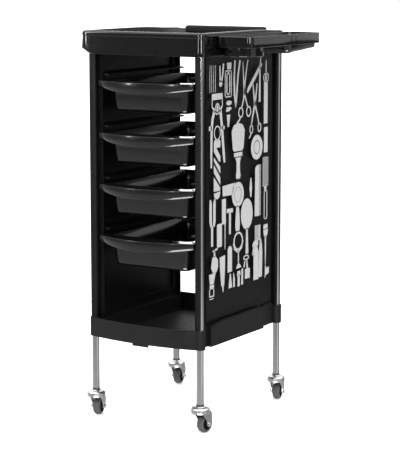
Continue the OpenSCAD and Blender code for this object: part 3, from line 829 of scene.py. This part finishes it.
def print_upper(ink):
    """Hairpins, clip, bottle, tweezers, two pairs of scissors, open razor."""
    for y in (-133, -126, -118, -111):
        ink.line((y, 779, 1.1), (y - 1.5, 752, 1.6), (y - 0.5, 722, 1.3))
    ink.line((-94, 776, 4), (-93.5, 757, 4.5), (-92, 742, 6))
    ink.line((-80, 780, 6), (-83, 757, 5), (-88, 742, 5))
    ink.oval(-91, 739, 6, 7)
    ink.patch((-66, 781), (-47, 781), (-49, 767), (-64, 767))
    ink.hollow_box(-74, 708, -46, 765, 2.6)
    ink.hollow_box(-68, 713, -52, 761, 4.2)
    ink.line((-33, 785, 5), (-36, 745, 6), (-34, 712, 7), (-28.5, 684, 5))
    ink.line((-12, 784, 6), (-20, 753, 6), (-24, 722, 6), (-28, 684, 4))
    ink.line((0, 780, 2.5), (3.5, 741, 4), (6, 713, 6), (3, 698, 4.5), (-4, 682, 4))
    ink.line((21, 783, 3), (15, 762, 4), (9, 734, 5), (5.5, 713, 5), (13, 699, 4), (21, 682, 4))
    ink.oval(-8, 672, 10.5, 12, 3.6)
    ink.oval(25, 672, 10.5, 12, 3.6)
    ink.line((-10, 661, 4), (-15, 655, 4), (-24, 651, 3))
    ink.line((80, 772, 7), (66, 759, 9), (43, 737, 9.5), (24, 720, 9), (19, 713, 5))
    ink.line((76, 786, 2.5), (73.5, 767, 3.5), (73, 745, 6), (72, 689, 8))
    ink.line((43, 730, 3.5), (47, 708, 5.5), (52, 686, 7.5), (41, 656, 4.5), (38, 643, 4))
    ink.line((61, 730, 4), (57, 708, 5.5), (52, 686, 6), (63, 661, 4.5), (69, 644, 4))
    ink.oval(37, 632, 7.5, 10, 3)
    ink.oval(72, 633.5, 8, 10.5, 3.2)
    ink.line((36, 623, 4), (33, 618, 4), (27, 613, 3))


def print_combs(ink):
    """Needle comb down the back edge, wide comb, pen."""
    ink.line((100, 779, 3), (99.5, 748, 4))
    ink.hollow_box(88, 732, 111, 750, 3.2)
    ink.box(95.5, 733, 102, 748)
    ink.box(91, 640, 107, 731)
    ink.box(92, 576, 108, 632)
    ink.box(92, 500, 106, 566)
    ink.teeth(87, 112, 502, 3.8, 2, 17)
    ink.line((99, 500, 12), (99, 492, 7))
    ink.hollow_box(93, 427, 108, 492, 3)
    ink.patch((55, 546), (62, 551), (73, 552), (72, 438), (53, 439))
    ink.teeth(71, 79, 439.5, 2.7, 1.5, 42)
    ink.patch((34, 526), (38, 526), (41, 503), (39, 484), (34, 484), (30, 503))


def print_tongs(ink):
    """Tongs with a square head, ring and striped grip, two nuts and a tube."""
    ink.box(-126, 706, -83, 719)
    ink.line((-125, 706, 2.6), (-125, 692, 3), (-113, 682, 8), (-104, 677, 7))
    ink.line((-84, 706, 2.6), (-84, 692, 3), (-95, 682, 8), (-104, 677, 7))
    ink.oval(-104, 688, 9, 11, 3)
    ink.oval(-104, 688, 3.4, 7)
    ink.line((-116, 684, 9), (-124, 664, 8.5), (-127, 640, 8), (-128, 600, 8), (-128, 564, 6))
    ink.line((-92, 684, 9), (-86, 651, 8.5), (-82, 619, 9), (-78, 590, 9), (-75, 571, 6))
    ink.box(-137.5, 643, -126, 652)
    ink.box(-87, 642, -75, 649)
    ink.oval(-104, 636, 13.5, 15.5, 2.8)
    ink.patch((-118, 605), (-118, 618), (-114, 622), (-96, 622), (-92, 618), (-92, 605))
    ink.patch((-118, 605), (-118, 598), (-97, 575), (-92, 574), (-92, 586), (-108, 605))
    ink.patch((-118, 586), (-118, 578), (-92, 549), (-92, 563))
    ink.patch((-118, 570), (-118, 553), (-92, 525), (-92, 541))
    ink.patch((-118, 544), (-118, 513), (-92, 513), (-92, 519))
    ink.patch((-118, 509), (-115, 500), (-109, 496), (-101, 496), (-95, 500), (-92, 509), (-92, 511))
    ink.oval(-57, 696, 11, 5)
    ink.patch((-69, 678), (-66, 687), (-50, 687), (-46, 684), (-56, 678))
    ink.patch((-66, 671), (-52, 671), (-57, 645), (-62, 645))


def print_middle(ink):
    """Neck duster, round mirror, dryer, flat iron, tail comb, razor, paddle brush."""
    ink.patch((-46, 633), (-38, 646), (-20, 651), (0, 646), (9, 633),
              (4, 596), (-1, 590), (-36, 590), (-41, 596))
    ink.box(-36, 578, -1, 587)
    ink.line((-18, 576, 24), (-18, 566, 14), (-18, 548, 14), (-18, 536, 20), (-18, 530, 14))
    ink.oval(61, 591, 25, 27, 11.5)
    ink.oval(61, 591, 11.5, 13.5)
    ink.patch((-83, 521), (-30, 523), (-44, 498), (-82, 499))
    ink.oval(-19, 496, 25, 27, 10)
    ink.oval(-19, 496, 13.5, 16)
    ink.line((-20, 472, 10), (-20, 450, 16), (-20, 430, 19), (-20, 417, 15))
    for side in (-1, 1):
        ink.line((-123 + side * 9, 497, 5), (-123 + side * 7.5, 488, 9.5), (-123 + side * 7.5, 450, 9.5),
                 (-123 + side * 5, 439, 7))
    ink.line((-124.5, 440, 8), (-124.5, 397, 8))
    ink.box(-85, 439, -69, 493)
    ink.line((-72, 439, 4), (-72, 384, 2))
    ink.patch((-65, 470), (-65, 461), (-40, 460), (-40, 469))
    ink.box(-56, 414, -48, 460)
    ink.line((-95, 442, 14), (-95, 440, 20), (-95, 394, 20), (-95, 392, 14))
    ink.oval(19, 449, 25, 34)
    ink.line((20, 418, 7), (20, 390, 9), (20.5, 364, 12), (20.5, 361, 9))


def print_lower(ink):
    """Stand mirror, bristle comb, tint brush, bottles, tubes, small brushes."""
    ink.oval(-17, 394, 20, 20.5, 4.5)
    ink.line((-38, 391, 3), (-33, 378, 3), (-17, 369, 4), (-2, 378, 3), (4, 393, 3))
    ink.line((-16, 369, 4), (-16, 345, 4))
    ink.patch((-26, 334), (-20, 344), (-11, 344), (-3, 335))
    ink.box(71, 383, 78, 418)
    ink.teeth(54, 72, 384, 2.9, 2, 12)
    ink.line((79, 386, 5), (80, 374, 10), (80, 355, 15), (79, 303, 15), (79, 300, 11))
    ink.patch((92, 415), (110, 416), (110, 406), (92, 405))
    ink.patch((91, 403), (112, 404), (110, 392), (102, 385), (94, 390))
    ink.line((101, 388, 6), (101, 360, 5), (101, 326, 2.5))
    ink.patch((-129, 352), (-124, 372), (-117, 376), (-111, 375),
              (-101, 366), (-100, 350), (-107, 340), (-121, 340))
    ink.line((-115, 374, 8), (-115, 389, 3))
    ink.line((-122, 386, 4), (-102, 390, 4))
    ink.patch((-94, 369), (-72, 372), (-72, 345), (-75, 306), (-87, 306), (-92, 340))
    ink.line((-80, 307, 7), (-80, 292, 2))
    ink.patch((-61, 382), (-56, 388), (-48, 388), (-43, 382), (-43, 332), (-61, 331))
    ink.oval(17, 353, 12, 6, 3)
    ink.line((12, 346, 4), (8, 333, 5))
    ink.line((20, 346, 4), (22, 328, 7))
    ink.box(12, 306, 33, 328)
    ink.patch((43, 375), (50, 384), (67, 384), (70, 377), (66, 371), (46, 371))
    ink.line((50, 372, 5), (44, 354, 4))
    ink.patch((49, 366), (54, 372), (64, 372), (71, 360), (71, 297), (49, 297))
    ink.patch((-57, 296), (-52, 328), (-48, 328), (-42, 297))
    ink.box(-38, 296, -31, 316)
    ink.line((-35, 316, 5), (-36, 327, 3))
    ink.patch((-22, 318), (-20, 328), (-8, 328), (-7, 318))
    ink.box(-19, 294, -10, 320)
    ink.patch((-4, 296), (-3, 330), (4, 332), (4, 296))
    ink.patch((-137, 338), (-110, 340), (-118, 317), (-133, 316))
    ink.box(-134, 309, -117, 315)
    ink.hollow_box(-136, 286, -116, 309, 3)
    ink.box(-134, 284, -118, 292)
    ink.patch((99, 294), (104, 300), (117, 304), (117, 318), (106, 316), (100, 326))


def make_print():
    ink = Ink(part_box("right_panel")[1].x)
    for draw in (print_upper, print_combs, print_tongs, print_middle, print_lower):
        draw(ink)
    printed = mesh_object("right_panel_print", ink.bm, "print_ink", CAD_SHARP_ANGLE)
    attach(printed, "frame")


# ---------------------------------------------------------------- carried-over CAD nodes

BEVELS = {"base_tray": 0.8 * MM, "left_panel": 0.5 * MM, "right_panel": 0.5 * MM}


def finish_cad_nodes():
    """Material and smooth shading for every node that no visual piece replaces."""
    slots = {s["node"]: s["material_slot"] for s in frame["record"]["subparts"]}
    for name, piece in nodes.items():
        if piece.hide_render:
            continue
        paint(piece, slots[name])
        smooth(piece, CAD_SHARP_ANGLE)
        if name in BEVELS:
            bevelled(piece, BEVELS[name])


# ---------------------------------------------------------------- stage

# Metres
FLOOR_HALF = 30.0
MIDDLE_HEIGHT = 0.6      # the height that the panels of light face

# Brightness of the studio seen in reflections and bounced light, and the azimuth where it is dark
FRONT_WALL = 0.08
SIDE_WALL = 0.16
BACK_WALL = 2.6
CEILING = 1.4
GROUND = 0.36
DARK_AZIMUTH = 148

# azimuth, elevation, strength, spread. Azimuths are in degrees from the front towards the side tray
SUNS = {"overhead": (10, 72, 2.4, 110), "side_sun": (20, 20, 0.5, 60)}

# Panels that only reflections see: azimuth, distance, height, width, length, brightness
SEEN_LIGHTS = {
    "left_strip": (-42, 3.2, 1.5, 0.3, 1.8, 12),
    "middle_strip": (8, 3.2, 1.5, 0.25, 1.8, 12),
    "right_strip": (50, 3.2, 1.5, 0.45, 1.8, 14),
    "back_right": (148, 3.2, 0.9, 1.4, 0.7, 0.6),
    "right_wall": (86, 3.2, 0.5, 1.6, 2.4, 0.45),
    "ground_glow": (30, 1.6, -1.3, 1.6, 1.2, 11),
}


def make_stage():
    floor_mesh = bpy.data.meshes.new("floor")
    bm = bmesh.new()
    bm.faces.new([bm.verts.new((x * FLOOR_HALF, y * FLOOR_HALF, 0))
                  for x, y in ((-1, -1), (1, -1), (1, 1), (-1, 1))])
    bm.to_mesh(floor_mesh)
    bm.free()
    floor = bpy.data.objects.new("floor", floor_mesh)
    bpy.context.scene.collection.objects.link(floor)
    s = Shader("floor_paint")
    s.color_between(s.noise(1.5, 3.0), grey(0.9), grey(0.93))
    s.set(roughness=0.8, specular=0.2)
    s.surface.inputs["Emission Color"].default_value = (1.0, 1.0, 1.0, 1.0)
    s.surface.inputs["Emission Strength"].default_value = 0.35
    floor.data.materials.append(s.material)
    floor.visible_glossy = False


def make_world():
    """White to the camera; a dim studio with a bright back wall to reflections and bounced light."""
    world = bpy.data.worlds.new("studio")
    bpy.context.scene.world = world
    world.use_nodes = True
    g = Graph(world.node_tree)
    background = g.tree.nodes["Background"]
    background.inputs["Strength"].default_value = 1.0
    place = g.node("ShaderNodeTexCoord").outputs["Generated"]

    def towards(x, y):
        """How far a direction points towards (x, y), from -1 to 1."""
        node = g.node("ShaderNodeVectorMath")
        node.operation = "DOT_PRODUCT"
        node.inputs[1].default_value = (x, y, 0.0)
        g.link(place, node.inputs[0])
        return node.outputs["Value"]

    def soft(value, start, end, low, high):
        return g.ramp(value, start, end, low, high, "SMOOTHSTEP")

    split = g.node("ShaderNodeSeparateXYZ")
    g.link(place, split.inputs[0])
    height = split.outputs["Z"]      # sine of the elevation
    azimuth, dark = math.radians(CAMERA_AZIMUTH), math.radians(DARK_AZIMUTH)
    ahead = towards(-math.sin(azimuth), math.cos(azimuth))
    shade = towards(math.sin(dark), -math.cos(dark))
    band = g.multiply(soft(height, 0.08, 0.16, 1.0, 0.15), soft(height, -0.1, -0.02, 0.4, 1.0))
    back_wall = g.multiply(soft(ahead, 0.35, 0.95, 0.0, BACK_WALL), band)
    walls = g.add(g.ramp(ahead, -1.0, 0.0, FRONT_WALL, SIDE_WALL), back_wall)
    walls = g.multiply(walls, soft(shade, 0.45, 0.85, 1.0, 0.1))
    above = soft(height, 0.1, 0.85, 0.0, CEILING)
    below = soft(height, -0.25, -0.17, GROUND, 0.0)
    mix = g.node("ShaderNodeMix")
    mix.data_type = "FLOAT"
    mix.inputs["B"].default_value = 1.0
    g.link(g.node("ShaderNodeLightPath").outputs["Is Camera Ray"], mix.inputs["Factor"])
    g.link(g.add(walls, g.add(above, below)), mix.inputs["A"])
    g.link(mix.outputs["Result"], background.inputs["Color"])


def new_light(name, kind, toward):
    """A light that shines along toward."""
    light = bpy.data.objects.new(name, bpy.data.lights.new(name, kind))
    bpy.context.scene.collection.objects.link(light)
    light.rotation_mode = "QUATERNION"
    light.rotation_quaternion = toward.to_track_quat("-Z", "Y")
    return light


def make_lights():
    for name, (azimuth, elevation, strength, spread) in SUNS.items():
        a, e = math.radians(azimuth), math.radians(elevation)
        place = Vector((math.sin(a) * math.cos(e), -math.cos(a) * math.cos(e), math.sin(e)))
        sun = new_light(name, "SUN", -place)
        sun.data.energy, sun.data.angle = strength, math.radians(spread)
        sun.visible_glossy = False
    middle = Vector((0, 0, MIDDLE_HEIGHT))
    for name, (azimuth, distance, height, width, length, brightness) in SEEN_LIGHTS.items():
        a = math.radians(azimuth)
        place = Vector((math.sin(a) * distance, -math.cos(a) * distance, height))
        light = new_light(name, "AREA", middle - place)
        light.location = place
        light.data.shape = "RECTANGLE"
        light.data.size, light.data.size_y = width, length
        light.data.energy = brightness * math.pi * width * length
        light.visible_diffuse = False
    make_world()
    bpy.context.scene.view_settings.view_transform = "Standard"


make_camera()
make_top_tray()
make_side_tray()
make_rear_handle()
for number in (1, 2, 3, 4):
    make_drawer(number)
for corner in CORNERS:
    make_tyre(corner)
    make_hub(corner)
    make_fork(corner)
make_print()
finish_cad_nodes()
make_stage()
make_lights()
